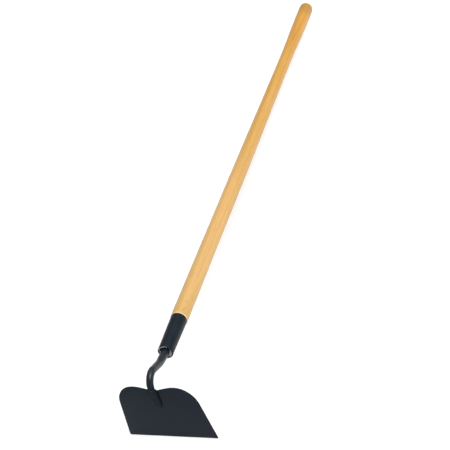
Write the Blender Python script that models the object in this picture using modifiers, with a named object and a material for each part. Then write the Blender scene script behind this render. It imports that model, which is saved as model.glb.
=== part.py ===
"""Long handled garden hoe with a swan neck, resting on its cutting edge and its butt.

Metres, +Z up, +Y towards the butt of the handle, X across the blade. The floor is z = 0.
Every piece is drawn in the tool's own frame and hangs on one empty. There the handle's axis is
the Y axis, the ferrule's mouth is at y = 0, and +Z is the side away from the blade. The empty
then lays the whole tool down on the floor.
"""

import math

import bmesh
import bpy
from mathutils import Matrix, Vector

MM = 0.001

# Clearances
SEAT_GAP = 0.3 * MM          # between faces that touch on the real tool
BEAD_CLEARANCE = 0.33 * MM   # between the side welds and the foot
MERGE = 0.05 * MM            # welding distance inside one mesh

# Handle: a turned ash stick, about 53 in long
HANDLE_LENGTH = 1350 * MM    # from the tenon's end to the butt
HANDLE_DIAMETER = 32.4 * MM  # over the straight front half
STRAIGHT_LENGTH = 480 * MM   # of the full diameter, measured from the tenon's end
WAIST_DIAMETER = 29.3 * MM   # the slimmest place, where the upper hand grips
WAIST_FROM_BUTT = 295 * MM
BUTT_DIAMETER = 35.4 * MM    # the flare that keeps the hand from slipping off
FLARE_END_FROM_BUTT = 50 * MM
BUTT_DOME_HEIGHT = 10.0 * MM  # how far the rounded end rises above its edge
SHOULDER_CHAMFER = 1.2 * MM  # where the stick steps down into the ferrule

# Ferrule: a drawn, tapered steel tube with a curled mouth
FERRULE_LENGTH = 87 * MM     # from the rim to its upper end
FERRULE_TOP_DIAMETER = 30.7 * MM
FERRULE_MOUTH_DIAMETER = 28.0 * MM
FERRULE_WALL = 1.2 * MM
LIP_DIAMETER = 2.6 * MM      # thickness of the curled rim
LIP_PROUD = 0.3 * MM         # how far the rim stands outside the tube
TENON_RECESS = 3.4 * MM      # wood's end, inside the mouth

# Neck: one forged rod with its tang in the handle and its foot on the blade
ROD_DIAMETER = 15.2 * MM     # at the ferrule
ROD_DIAMETER_AT_BEND = 13.4 * MM
TANG_LENGTH = 105 * MM       # from the ferrule's mouth into the wood
TANG_TIP_DIAMETER = 7.0 * MM
BORE_BOTTOM_GAP = 2.0 * MM   # air left below the tang
RISE_REACH = 32.0 * MM       # first bend, ahead of the mouth
RISE_HEIGHT = 4.8 * MM
CROWN_REACH = 82.0 * MM      # corner of the crown bend, ahead of the mouth
CROWN_HEIGHT = 26.3 * MM     # and above the handle's axis
MOUTH_BEND_RADIUS = 60 * MM
RISE_BEND_RADIUS = 60 * MM
CROWN_BEND_RADIUS = 18.0 * MM
ANKLE_BEND_RADIUS = 24 * MM
ANKLE_LENGTH = 7.0 * MM      # straight rod between the ankle bend and the blade's notch
FOOT_LENGTH = 48 * MM        # hammered foot down the blade's outer face
FOOT_WIDTH = 12.0 * MM       # where it meets the notch
FOOT_TIP_WIDTH = 7.0 * MM
FOOT_THICKNESS = 6.0 * MM    # at the notch
FOOT_TIP_THICKNESS = 1.4 * MM
FLAT_ABOVE_NOTCH = 3.0 * MM  # where the rod has the foot's flatness already
RUN_OUT = 16 * MM            # over which the round rod becomes flat

# Blade: flat steel plate, notched at the middle of its top edge
BLADE_WIDTH = 166.4 * MM     # along the cutting edge
BLADE_HEIGHT = 141.2 * MM    # from the cutting edge to the top of a lobe
BLADE_THICKNESS = 2.2 * MM
NOTCH_DEPTH = 8.9 * MM       # below the lobes
LOBE_SPACING = 73.8 * MM     # between the two lobes' highest points
SHOULDER_WIDTH = 146.6 * MM  # where the straight sides end
SHOULDER_HEIGHT = 97.5 * MM
SHOULDER_REACH = 25.0 * MM   # curve handle up from the shoulder
LOBE_OUTER_REACH = 19.2 * MM
LOBE_INNER_REACH = 13.5 * MM
NOTCH_REACH = 9.4 * MM
CORNER_RADIUS = 1.5 * MM
GRIND_WIDTH = 7.0 * MM       # bevel ground on the outer face
EDGE_THICKNESS = 0.8 * MM
BLADE_ANGLE = math.radians(82.4)  # between the blade and the handle
NOTCH_AHEAD = 80.9 * MM      # notch of the outer face, ahead of the mouth
NOTCH_BELOW = 13.3 * MM      # and below the handle's axis

# Welds between the foot, the notch and the blade
SIDE_WELD_DIAMETER = 2.6 * MM
BEAD_SHARE = 0.8             # largest bead, as a share of the foot's thickness beside it
SIDE_WELD_START = 3.0 * MM   # below the notch
SIDE_WELD_LENGTH = 34 * MM
NOTCH_WELD_DIAMETER = 3.0 * MM
NOTCH_WELD_LENGTH = 7.0 * MM

# Drive pin, from the underside through the ferrule, the wood and the tang
PIN_DIAMETER = 3.0 * MM
PIN_HEAD_DIAMETER = 5.4 * MM
PIN_HEAD_HEIGHT = 1.0 * MM
PIN_FROM_MOUTH = 52 * MM
PIN_PAST_TANG = 3.5 * MM     # how far its point goes into the wood beyond the tang
PIN_POINT_LENGTH = 1.5 * MM

# Facets
ROUND_STEPS = 48             # around the handle and the ferrule
PIN_STEPS = 16
EASE_STEPS = 12              # along each eased stretch of the handle
DOME_STEPS = 6               # over the rounded butt
LIP_STEPS = 10               # around the curled rim
ARC_STEP = math.radians(5)   # along the neck's bends
NECK_SPACING = 6.0 * MM      # and along its straight stretches
ROD_RESOLUTION = 6
WELD_RESOLUTION = 2
OUTLINE_RESOLUTION = 14
WELD_STEPS = 8
OVAL_STEPS = 24              # places tried around the foot's section
SMOOTH_ANGLE = math.radians(35)

# Colours (linear) and finish of the materials
WOOD = ((0.79, 0.45, 0.16, 1.0), 0.38, 0.0)
BLACK_PAINT = ((0.024, 0.030, 0.039, 1.0), 0.42, 0.0)
BLADE_PAINT = ((0.026, 0.032, 0.041, 1.0), 0.50, 0.0)
PIN_STEEL = ((0.30, 0.31, 0.33, 1.0), 0.40, 0.9)


def clear_scene():
    """Remove whatever the file opened with."""
    for item in list(bpy.data.objects):
        bpy.data.objects.remove(item, do_unlink=True)


def make_collection(name):
    """Return a new collection linked to the scene."""
    group = bpy.data.collections.new(name)
    bpy.context.scene.collection.children.link(group)
    return group


def make_material(name, finish):
    """Return a Principled material from (colour, roughness, metallic)."""
    colour, roughness, metallic = finish
    material = bpy.data.materials.new(name)
    material.use_nodes = True
    shader = material.node_tree.nodes["Principled BSDF"]
    shader.inputs["Base Color"].default_value = colour
    shader.inputs["Roughness"].default_value = roughness
    shader.inputs["Metallic"].default_value = metallic
    material.diffuse_color = colour
    return material


def add_piece(name, data, group, parent, material):
    """Make an object from a mesh or curve, and hang it on the tool's empty."""
    piece = bpy.data.objects.new(name, data)
    group.objects.link(piece)
    data.materials.append(material)
    piece.parent = parent
    return piece


def ease(start, end, share):
    """Value between start and end that leaves and arrives level."""
    return start + (end - start) * 0.5 * (1 - math.cos(math.pi * share))


def turned_piece(name, profile, closed, steps, group, parent, material):
    """Turn a profile of (radius, height) points about the handle's axis.

    The profile runs down its outer side. It is closed into a ring for a tube, and starts and
    ends on the axis for a solid piece.
    """
    mesh = bpy.data.meshes.new(name)
    vertices = [(radius, 0.0, height) for radius, height in profile]
    edges = [(i, i + 1) for i in range(len(vertices) - 1)]
    if closed:
        edges.append((len(vertices) - 1, 0))
    mesh.from_pydata(vertices, edges, [])
    piece = add_piece(name, mesh, group, parent, material)
    piece.rotation_euler = (-math.pi / 2, 0, 0)
    turn = piece.modifiers.new("turn", "SCREW")
    turn.steps = steps
    turn.render_steps = steps
    turn.use_merge_vertices = True
    turn.merge_threshold = MERGE
    turn.use_smooth_shade = True
    return piece


def ferrule_outer_radius(height):
    """Outer radius of the ferrule's tube at a height above its mouth."""
    share = height / FERRULE_LENGTH
    return (FERRULE_MOUTH_DIAMETER + (FERRULE_TOP_DIAMETER - FERRULE_MOUTH_DIAMETER) * share) / 2


def tenon_radius(height):
    """Radius of the wood inside the ferrule."""
    return ferrule_outer_radius(height) - FERRULE_WALL - SEAT_GAP


def handle_radius(height):
    """Radius of the bare stick at a height above the ferrule's mouth."""
    top = HANDLE_LENGTH + TENON_RECESS
    waist = top - WAIST_FROM_BUTT
    flare_end = top - FLARE_END_FROM_BUTT
    if height <= STRAIGHT_LENGTH:
        return HANDLE_DIAMETER / 2
    if height <= waist:
        share = (height - STRAIGHT_LENGTH) / (waist - STRAIGHT_LENGTH)
        return ease(HANDLE_DIAMETER, WAIST_DIAMETER, share) / 2
    if height <= flare_end:
        share = (height - waist) / (flare_end - waist)
        return ease(WAIST_DIAMETER, BUTT_DIAMETER, share) / 2
    return BUTT_DIAMETER / 2


def tang_radius(height):
    """Radius of the tang at a height above the ferrule's mouth."""
    share = max(0.0, height / TANG_LENGTH)
    return (ROD_DIAMETER + (TANG_TIP_DIAMETER - ROD_DIAMETER) * share) / 2


def handle_profile():
    """Outer side from the butt down to the tenon, then up the bore for the tang."""
    top = HANDLE_LENGTH + TENON_RECESS
    edge = top - BUTT_DOME_HEIGHT
    waist = top - WAIST_FROM_BUTT
    flare_end = top - FLARE_END_FROM_BUTT
    points = []
    for step in range(DOME_STEPS + 1):
        angle = 0.5 * math.pi * step / DOME_STEPS
        radius = BUTT_DIAMETER / 2 * math.sin(angle)
        points.append((radius, edge + BUTT_DOME_HEIGHT * math.cos(angle)))
    for step in range(EASE_STEPS + 1):
        height = flare_end + (waist - flare_end) * step / EASE_STEPS
        points.append((handle_radius(height), height))
    for step in range(1, EASE_STEPS + 1):
        height = waist + (STRAIGHT_LENGTH - waist) * step / EASE_STEPS
        points.append((handle_radius(height), height))
    shoulder = FERRULE_LENGTH + SEAT_GAP
    points.append((HANDLE_DIAMETER / 2, shoulder + SHOULDER_CHAMFER))
    points.append((HANDLE_DIAMETER / 2 - SHOULDER_CHAMFER, shoulder))
    points.append((tenon_radius(FERRULE_LENGTH), shoulder))
    points.append((tenon_radius(TENON_RECESS), TENON_RECESS))
    points.append((tang_radius(TENON_RECESS) + SEAT_GAP, TENON_RECESS))
    points.append((tang_radius(TANG_LENGTH) + SEAT_GAP, TANG_LENGTH))
    bottom = TANG_LENGTH + BORE_BOTTOM_GAP
    points.append((TANG_TIP_DIAMETER / 4, bottom))
    points.append((0.0, bottom))
    return points


def ferrule_profile():
    """Ring of the tube's wall, with the curled rim at its mouth."""
    rim = LIP_DIAMETER / 2
    centre_radius = FERRULE_MOUTH_DIAMETER / 2 + LIP_PROUD - rim
    points = [(ferrule_outer_radius(FERRULE_LENGTH), FERRULE_LENGTH)]
    meet = 2 * rim
    points.append((ferrule_outer_radius(meet), meet))
    for step in range(LIP_STEPS + 1):
        angle = -math.pi * step / LIP_STEPS
        points.append((centre_radius + rim * math.cos(angle), rim + rim * math.sin(angle)))
    inner_top = TENON_RECESS - SEAT_GAP
    points.append((centre_radius - rim, inner_top))
    points.append((ferrule_outer_radius(inner_top) - FERRULE_WALL, inner_top))
    points.append((ferrule_outer_radius(FERRULE_LENGTH) - FERRULE_WALL, FERRULE_LENGTH))
    return points


def pin_reach():
    """Lowest and highest height of the pin's shank, across the handle's axis."""
    low = -ferrule_outer_radius(PIN_FROM_MOUTH)
    high = tang_radius(PIN_FROM_MOUTH) + PIN_PAST_TANG
    return low, high


def blade_direction():
    """Unit vector down the blade, from its notch to its cutting edge."""
    return Vector((0.0, math.cos(BLADE_ANGLE), -math.sin(BLADE_ANGLE)))


def blade_normal():
    """Unit vector out of the blade's outer face, the one turned away from the handle."""
    return Vector((0.0, -math.sin(BLADE_ANGLE), -math.cos(BLADE_ANGLE)))


def notch_point():
    """Middle of the notch on the blade's outer face."""
    return Vector((0.0, -NOTCH_AHEAD, -NOTCH_BELOW))


def foot_radius(down):
    """Half the width of the foot at a distance down the blade from the notch."""
    share = down / FOOT_LENGTH
    return (FOOT_WIDTH + (FOOT_TIP_WIDTH - FOOT_WIDTH) * share) / 2


def foot_flatness(down):
    """Thickness over width: 1 on the round rod, falling to that of the foot at the notch."""
    above = -down - FLAT_ABOVE_NOTCH
    if above > 0:
        return ease(FOOT_THICKNESS / FOOT_WIDTH, 1.0, min(1.0, above / RUN_OUT))
    share = max(0.0, down) / FOOT_LENGTH
    thickness = FOOT_THICKNESS + (FOOT_TIP_THICKNESS - FOOT_THICKNESS) * share
    width = FOOT_WIDTH + (FOOT_TIP_WIDTH - FOOT_WIDTH) * share
    return thickness / width


def foot_centre(down):
    """Centre of the still round foot, which lies against the blade's outer face."""
    stand_off = foot_radius(down) + SEAT_GAP
    return notch_point() + blade_direction() * down + blade_normal() * stand_off


def hammer_foot(mesh):
    """Flatten the rod's end towards the plate, the more the further down it is."""
    for vertex in mesh.vertices:
        place = vertex.co - notch_point()
        down = place.dot(blade_direction())
        height = place.dot(blade_normal()) - SEAT_GAP
        if down > -FLAT_ABOVE_NOTCH - RUN_OUT and height > -ROD_DIAMETER:
            vertex.co -= blade_normal() * height * (1 - foot_flatness(down))


def rounded_route(corners, radii):
    """Points along straight legs whose inner corners are rounded to the given radii."""
    points = [corners[0]]
    for before, corner, after, radius in zip(corners, corners[1:], corners[2:], radii):
        to_before = (before - corner).normalized()
        to_after = (after - corner).normalized()
        half = 0.5 * to_before.angle(to_after)
        centre = corner + (to_before + to_after).normalized() * (radius / math.sin(half))
        start = corner + to_before * (radius / math.tan(half)) - centre
        end = corner + to_after * (radius / math.tan(half)) - centre
        sweep = start.angle(end)
        count = max(2, math.ceil(sweep / ARC_STEP))
        for step in range(count + 1):
            share = step / count
            near = math.sin((1 - share) * sweep) / math.sin(sweep)
            far = math.sin(share * sweep) / math.sin(sweep)
            points.append(centre + start * near + end * far)
    points.append(corners[-1])
    return points


def even_steps(points, spacing):
    """The same line with further points, so that none are more than the spacing apart."""
    line = [points[0]]
    for before, after in zip(points, points[1:]):
        count = math.ceil((after - before).length / spacing)
        for step in range(1, count + 1):
            line.append(before.lerp(after, step / count))
    return line


def neck_route():
    """Centre line of the rod, from the tang's tip to the foot's tip, with its radius."""
    foot_line = (foot_centre(0.0) - foot_centre(FOOT_LENGTH)).normalized()
    corners = [
        Vector((0.0, TANG_LENGTH, 0.0)),
        Vector((0.0, 0.0, 0.0)),
        Vector((0.0, -RISE_REACH, RISE_HEIGHT)),
        Vector((0.0, -CROWN_REACH, CROWN_HEIGHT)),
        foot_centre(0.0) + foot_line * ANKLE_LENGTH,
        foot_centre(FOOT_LENGTH),
    ]
    radii = [MOUTH_BEND_RADIUS, RISE_BEND_RADIUS, CROWN_BEND_RADIUS, ANKLE_BEND_RADIUS]
    points = even_steps(rounded_route(corners, radii), NECK_SPACING)
    crown = min(range(len(points)), key=lambda i: points[i].y)
    travelled = [0.0]
    for before, after in zip(points, points[1:]):
        travelled.append(travelled[-1] + (after - before).length)
    foot_begins = travelled[-1] - FOOT_LENGTH
    route = []
    for index, (point, distance) in enumerate(zip(points, travelled)):
        if point.y >= 0 and index < crown:
            radius = tang_radius(point.y)
        elif distance <= foot_begins:
            radius = rod_radius((distance - TANG_LENGTH) / (foot_begins - TANG_LENGTH))
        else:
            radius = foot_radius(distance - foot_begins)
        route.append((point, radius))
    return route


def rod_radius(share):
    """Radius of the bare neck, from the mouth (0) over the crown to the notch (1)."""
    if share < 0.5:
        return ease(ROD_DIAMETER, ROD_DIAMETER_AT_BEND, 2 * share) / 2
    return ease(ROD_DIAMETER_AT_BEND, FOOT_WIDTH, 2 * share - 1) / 2


def swept_rod(name, route, resolution, group, parent, material):
    """Round bar along a route of (point, radius), as a curve with filled ends."""
    curve = bpy.data.curves.new(name, "CURVE")
    curve.dimensions = "3D"
    curve.bevel_depth = 1.0
    curve.bevel_resolution = resolution
    curve.use_fill_caps = True
    line = curve.splines.new("POLY")
    line.points.add(len(route) - 1)
    for knot, (point, radius) in zip(line.points, route):
        knot.co = (*point, 1.0)
        knot.radius = radius
    line.use_smooth = True
    return add_piece(name, curve, group, parent, material)


def curve_to_mesh(piece, group):
    """Replace a curve object by the mesh it makes, with its end caps welded on."""
    bpy.context.view_layer.update()
    shape = piece.evaluated_get(bpy.context.evaluated_depsgraph_get())
    mesh = bpy.data.meshes.new_from_object(shape)
    weld = bmesh.new()
    weld.from_mesh(mesh)
    bmesh.ops.remove_doubles(weld, verts=weld.verts, dist=MERGE)
    weld.to_mesh(mesh)
    weld.free()
    name, parent, place = piece.name, piece.parent, piece.matrix_world.copy()
    bpy.data.objects.remove(piece, do_unlink=True)
    mesh.name = name
    solid = bpy.data.objects.new(name, mesh)
    group.objects.link(solid)
    solid.parent = parent
    solid.matrix_world = place
    mesh.shade_smooth()
    mesh.set_sharp_from_angle(angle=SMOOTH_ANGLE)
    return solid


def cut(piece, cutter, name):
    """Take the cutter's volume out of a piece."""
    step = piece.modifiers.new(name, "BOOLEAN")
    step.operation = "DIFFERENCE"
    step.solver = "EXACT"
    step.object = cutter


def cutter_cylinder(name, radius, low, high, group, parent):
    """Upright cylinder across the handle's axis, at the pin's place."""
    mesh = bpy.data.meshes.new(name)
    body = bmesh.new()
    bmesh.ops.create_cone(
        body, cap_ends=True, segments=PIN_STEPS, radius1=radius, radius2=radius, depth=high - low
    )
    body.to_mesh(mesh)
    body.free()
    tool = bpy.data.objects.new(name, mesh)
    group.objects.link(tool)
    tool.parent = parent
    tool.location = (0.0, PIN_FROM_MOUTH, (low + high) / 2)
    tool.hide_render = True
    tool.display_type = "WIRE"
    return tool


def make_pin(group, parent, material):
    """Drive pin with a low domed head, its point in the wood above the tang."""
    low, high = pin_reach()
    head_face = low - SEAT_GAP
    profile = [
        (0.0, high),
        (PIN_DIAMETER / 4, high),
        (PIN_DIAMETER / 2, high - PIN_POINT_LENGTH),
        (PIN_DIAMETER / 2, head_face),
        (PIN_HEAD_DIAMETER / 2, head_face),
        (PIN_HEAD_DIAMETER / 2, head_face - PIN_HEAD_HEIGHT / 2),
        (PIN_HEAD_DIAMETER / 4, head_face - PIN_HEAD_HEIGHT),
        (0.0, head_face - PIN_HEAD_HEIGHT),
    ]
    pin = turned_piece("ferrule_pin", profile, False, PIN_STEPS, group, parent, material)
    pin.rotation_euler = (0, 0, 0)
    pin.location = (0.0, PIN_FROM_MOUTH, 0.0)
    return pin


def blade_outline():
    """Half outline as (point, left handle, right handle), from the edge up to the notch."""
    side = Vector((SHOULDER_WIDTH / 2 - BLADE_WIDTH / 2, SHOULDER_HEIGHT)).normalized()
    corner = Vector((BLADE_WIDTH / 2, 0.0))
    low = corner - Vector((CORNER_RADIUS, 0.0))
    raised = corner + side * CORNER_RADIUS
    shoulder = Vector((SHOULDER_WIDTH / 2, SHOULDER_HEIGHT))
    lobe = Vector((LOBE_SPACING / 2, BLADE_HEIGHT))
    notch = Vector((0.0, BLADE_HEIGHT - NOTCH_DEPTH))
    across = Vector((1.0, 0.0))
    third = (shoulder - raised) / 3
    return [
        (low, low - across * CORNER_RADIUS, low.lerp(corner, 0.5)),
        (raised, raised.lerp(corner, 0.5), raised + third),
        (shoulder, shoulder - third, shoulder + side * SHOULDER_REACH),
        (lobe, lobe + across * LOBE_OUTER_REACH, lobe - across * LOBE_INNER_REACH),
        (notch, notch + across * NOTCH_REACH, notch - across * NOTCH_REACH),
    ]


def mirrored(point):
    """The same point on the blade's other half."""
    return Vector((-point.x, point.y))


def make_blade(group, parent, material):
    """Plate from the outline, with its edge ground thin, tilted to the blade's angle."""
    half = blade_outline()
    knots = list(half)
    for point, before, after in reversed(half[:-1]):
        knots.append((mirrored(point), mirrored(after), mirrored(before)))
    curve = bpy.data.curves.new("blade", "CURVE")
    curve.dimensions = "2D"
    curve.fill_mode = "BOTH"
    curve.extrude = BLADE_THICKNESS / 2
    curve.resolution_u = OUTLINE_RESOLUTION
    line = curve.splines.new("BEZIER")
    line.bezier_points.add(len(knots) - 1)
    line.use_cyclic_u = True
    for knot, (point, before, after) in zip(line.bezier_points, knots):
        knot.handle_left_type = "FREE"
        knot.handle_right_type = "FREE"
        knot.co = (*point, 0.0)
        knot.handle_left = (*before, 0.0)
        knot.handle_right = (*after, 0.0)
    plate = add_piece("blade", curve, group, parent, material)
    plate.matrix_local = blade_frame()
    blade = curve_to_mesh(plate, group)
    grind_edge(blade.data)
    return blade


def grind_edge(mesh):
    """Slope the outer face down to the thin cutting edge, over the width of the grind."""
    drop = BLADE_THICKNESS - EDGE_THICKNESS
    plate = bmesh.new()
    plate.from_mesh(mesh)
    bmesh.ops.bisect_plane(
        plate,
        geom=plate.verts[:] + plate.edges[:] + plate.faces[:],
        plane_co=(0.0, GRIND_WIDTH, 0.0),
        plane_no=(0.0, 1.0, 0.0),
    )
    for vertex in plate.verts:
        if vertex.co.z > 0 and vertex.co.y < GRIND_WIDTH:
            vertex.co.z -= drop * (1 - vertex.co.y / GRIND_WIDTH)
    plate.to_mesh(mesh)
    plate.free()
    mesh.shade_flat()


def blade_frame():
    """Places the flat outline: its y up the blade, its z out of the outer face."""
    up = -blade_direction()
    out = blade_normal()
    across = up.cross(out)
    middle = notch_point() - out * (BLADE_THICKNESS / 2)
    origin = middle - up * (BLADE_HEIGHT - NOTCH_DEPTH)
    rotation = Matrix((across, up, out)).transposed().to_4x4()
    return Matrix.Translation(origin) @ rotation


def beside_foot(down, size):
    """How far to the side a bead of this radius lies when it just clears the foot's oval."""
    wide = foot_radius(down)
    thick = wide * foot_flatness(down)
    apart = size + BEAD_CLEARANCE
    across = 0.0
    for step in range(OVAL_STEPS):
        angle = 0.5 * math.pi * step / OVAL_STEPS
        rise = thick * (1 - math.sin(angle)) - size
        if abs(rise) < apart:
            reach = wide * math.cos(angle) + math.sqrt(apart ** 2 - rise ** 2)
            across = max(across, reach)
    return across


def side_weld_route(side):
    """Bead in the corner between the foot and the blade, on one side of the foot."""
    route = []
    for step in range(WELD_STEPS + 1):
        down = SIDE_WELD_START + SIDE_WELD_LENGTH * step / WELD_STEPS
        thick = foot_radius(down) * foot_flatness(down)
        size = min(SIDE_WELD_DIAMETER / 2, BEAD_SHARE * thick)
        across = beside_foot(down, size)
        height = size + SEAT_GAP
        place = notch_point() + blade_direction() * down + blade_normal() * height
        route.append((place + Vector((side * across, 0.0, 0.0)), size))
    return route


def notch_weld_route():
    """Short bead across the notch, behind the neck and on the plate's top edge."""
    bead = NOTCH_WELD_DIAMETER / 2
    half = NOTCH_WELD_LENGTH / 2
    sag = outline_sag(half)
    rise = bead + SEAT_GAP + sag
    middle = notch_point() - blade_direction() * rise - blade_normal() * bead
    return [(middle + Vector((-half, 0, 0)), bead), (middle + Vector((half, 0, 0)), bead)]


def outline_sag(half_width):
    """How far the notch's edge rises at a distance from its middle."""
    share = half_width / (LOBE_SPACING / 2)
    return ease(0.0, NOTCH_DEPTH, share)


def lowest_line(pieces):
    """Slope and height of the line that the blade and the butt both rest on.

    Seen from the side, the floor is the edge of the tool's outline that runs under it from
    the blade to the handle.
    """
    bpy.context.view_layer.update()
    graph = bpy.context.evaluated_depsgraph_get()
    points = []
    for piece in pieces:
        shape = piece.evaluated_get(graph)
        mesh = shape.to_mesh()
        place = piece.matrix_world
        points += [place @ vertex.co for vertex in mesh.vertices]
        shape.to_mesh_clear()
    blade_point = min(points, key=lambda p: p.z)
    behind = [p for p in points if p.y > FERRULE_LENGTH]
    slope = min((p.z - blade_point.z) / (p.y - blade_point.y) for p in behind)
    angle = math.atan(slope)
    turned = [Matrix.Rotation(-angle, 3, "X") @ p for p in points]
    lowest = min(p.z for p in turned)
    middle = (min(p.y for p in turned) + max(p.y for p in turned)) / 2
    return angle, lowest, middle


def build():
    """Make every piece and lay the tool on the floor."""
    clear_scene()
    parts = make_collection("garden_hoe")
    cutters = make_collection("cutters")
    tool = bpy.data.objects.new("tool_frame", None)
    parts.objects.link(tool)

    wood = make_material("wood", WOOD)
    ferrule_paint = make_material("ferrule_paint", BLACK_PAINT)
    neck_paint = make_material("neck_paint", BLACK_PAINT)
    blade_paint = make_material("blade_paint", BLADE_PAINT)
    weld_paint = make_material("weld_paint", BLADE_PAINT)
    pin_steel = make_material("pin_steel", PIN_STEEL)

    handle = turned_piece("handle", handle_profile(), False, ROUND_STEPS, parts, tool, wood)
    ferrule = turned_piece(
        "ferrule", ferrule_profile(), True, ROUND_STEPS, parts, tool, ferrule_paint
    )
    rod = swept_rod("neck", neck_route(), ROD_RESOLUTION, parts, tool, neck_paint)
    neck = curve_to_mesh(rod, parts)
    hammer_foot(neck.data)
    blade = make_blade(parts, tool, blade_paint)
    make_pin(parts, tool, pin_steel)

    low, high = pin_reach()
    hole = cutter_cylinder(
        "pin_hole_cutter", PIN_DIAMETER / 2 + SEAT_GAP, 2 * low, high + SEAT_GAP, cutters, tool
    )
    for drilled in (handle, ferrule, neck):
        cut(drilled, hole, "pin_hole")

    for name, side in (("weld_left", -1), ("weld_right", 1)):
        swept_rod(name, side_weld_route(side), WELD_RESOLUTION, parts, tool, weld_paint)
    swept_rod("weld_notch", notch_weld_route(), WELD_RESOLUTION, parts, tool, weld_paint)

    angle, lowest, middle = lowest_line((handle, neck, blade))
    tool.rotation_euler = (-angle, 0, 0)
    tool.location = (0.0, -middle, -lowest)
    bpy.context.view_layer.update()


build()
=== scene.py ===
"""Garden hoe: turned ash stick, steel ferrule, forged swan neck and notched flat blade.

Laid out as an add-on and run as a script. Metres, in the packed frame: the floor is z = 0 and
+Y runs along the floor from the blade to the butt. Each piece is drawn in the tool's own frame,
where the stick's axis is Y, the ferrule's mouth is at y = 0 and +Z is the side away from the
blade. It is then laid on the floor by moving its mesh.
"""

import math

import bmesh
import bpy
from bpy.props import FloatProperty, FloatVectorProperty, IntProperty, PointerProperty
from bpy.types import Operator, Panel, PropertyGroup
from mathutils import Matrix, Vector


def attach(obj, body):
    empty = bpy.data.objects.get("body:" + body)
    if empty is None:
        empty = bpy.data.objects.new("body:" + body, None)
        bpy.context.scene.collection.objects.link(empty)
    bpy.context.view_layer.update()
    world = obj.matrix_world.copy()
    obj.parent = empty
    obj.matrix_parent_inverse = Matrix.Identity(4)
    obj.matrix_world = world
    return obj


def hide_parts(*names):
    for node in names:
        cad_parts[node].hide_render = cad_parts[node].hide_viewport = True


bl_info = {
    "name": "Garden Hoe",
    "version": (1, 0, 0),
    "blender": (4, 5, 0),
    "location": "3D View > Sidebar > Garden Hoe",
    "description": "Builds a long handled garden hoe and the studio that it lies in",
    "category": "Object",
}

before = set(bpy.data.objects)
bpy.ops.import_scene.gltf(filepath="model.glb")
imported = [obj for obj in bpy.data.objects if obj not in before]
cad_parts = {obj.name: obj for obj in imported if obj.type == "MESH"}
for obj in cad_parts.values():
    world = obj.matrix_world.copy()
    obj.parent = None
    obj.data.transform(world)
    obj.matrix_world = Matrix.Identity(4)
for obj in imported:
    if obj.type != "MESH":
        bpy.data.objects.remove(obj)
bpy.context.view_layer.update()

BODY = "root"
WHITE = (1.0, 1.0, 1.0)

# How finely the pieces are drawn
MERGE = 0.00001            # welding distance inside one mesh
SMOOTH_ANGLE = math.radians(40)
STICK_STEPS = 96           # round the stick
SIDE_STEPS = 90            # along it
DOME_STEPS = 14            # over its rounded butt
FERRULE_STEPS = 112        # round the ferrule
TUBE_STEPS = 12            # along it
CURL_STEPS = 18            # round its rim
EASE_STEPS = 4             # round an eased edge
PIN_STEPS = 32             # round the pin
HEAD_STEPS = 8             # over its head
ROD_SIDES = 44             # round the neck
ROUTE_SPACING = 0.0012     # along it
BEND_STEP = math.radians(2.5)
BEND_STEPS_MIN = 4
PLATE_STEPS = 28           # along each curve of the blade's outline
RIM_STEPS = 2              # over its rounded rim
BEAD_STEPS = 24            # along a side weld, and in the search for its place
FLOOR_STEPS = 64

# Small fixed sizes, in metres unless a share is named
FIT = 0.0001               # between the wood, the tang and the ferrule
TENON_EASE = 0.0004        # chamfer of the tenon's end
BORE_POINT = 0.002         # depth of the bore's point beyond the tang
LIP_EASE = 0.0005          # rounding of the ferrule's upper end
GROOVE_TOP = 0.0010        # where the groove over the rim begins, above the rim
GROOVE = ((0.00010, 0.0004), (0.00022, -0.0001))   # its depth, at heights above the rim
CURL_START = math.radians(50)          # where the curled rim begins, outside
CURL_SWEEP = math.radians(230)         # how far it goes round, down and inwards
CURL_END = 0.0003          # where the curled rim ends inside, above the rim
CURL_FADE = 0.0008         # over which it meets the wall
HEAD_RIM, HEAD_DOME = 0.0004, 0.0009   # height of the pin head's rim, and of the dome on it
HEAD_SUNK = 0.0001         # the head's underside, inside the ferrule
PIN_PAST, PIN_TIP = 0.0020, 0.0035     # ends of the pin's shank and point, past the tang
NOSE_SHARE = 0.03          # least share of the foot's tip that is left at its very end
BEAD_SHARE = 0.8           # largest bead, as a share of the foot's thickness beside it
BEAD_SUNK, BEAD_RISE = 0.25, 0.70      # shares of a side bead's radius
NOTCH_BEAD_RISE = 0.75     # share of the notch bead's radius above the notch
PUDDLE_SEGMENTS, PUDDLE_RINGS = 16, 9
PUDDLE_LEAN = math.radians(28)
PUDDLE_SIZES = (0.90, 1.04)            # least and greatest share of the bead's radius
PUDDLE_FLATNESS = 0.62
FLOOR_DROP = 0.0003        # keeps the floor off the edge that rests on it
FLOOR_MOTTLE = 0.985       # how dark its mottle gets

# Patterns of the finishes: scales per metre, and for a drawn one along X, Y and Z
RING_WANDER = (14.0, 1.6, 14.0)
RING_SHIFT = (0.007, 0.0, 0.007)
PITH, PITH_LEAN = (0.034, -0.3, 0.046), (0.010, 0.0, 0.013)
RINGS = {"Scale": 112.0, "Distortion": 1.1, "Detail": 2.0, "Detail Scale": 0.6}
LATHE_MARKS = {"Scale": 210.0, "Distortion": 1.5, "Detail": 1.0}
FIBRES = (900.0, 14.0, 900.0)
STREAKS = (170.0, 2.2, 170.0)
SILK_SHEEN = (46.0, 3.4, 46.0)
PORES = (1500.0, 55.0, 1500.0)
CLOUD, FINE_GRAIN, DUST = 28.0, 950.0, 2600.0
CHIPS = 420.0
COAT_WEAR = 90.0
WELD_SCALE_AND_SHADE = 600.0
GRINDING = (2200.0, 60.0, 60.0)
ROLLING = (30.0, 400.0, 400.0)
PAINT_AND_SHADE_SHIFT = 0.0016         # how far the dark paint round the rod, which also paints the recess's shade, is pushed to one side
PALE_SIDE_FROM = (-0.40, 0.0, 0.92)       # side of the rim that is paler
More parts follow.
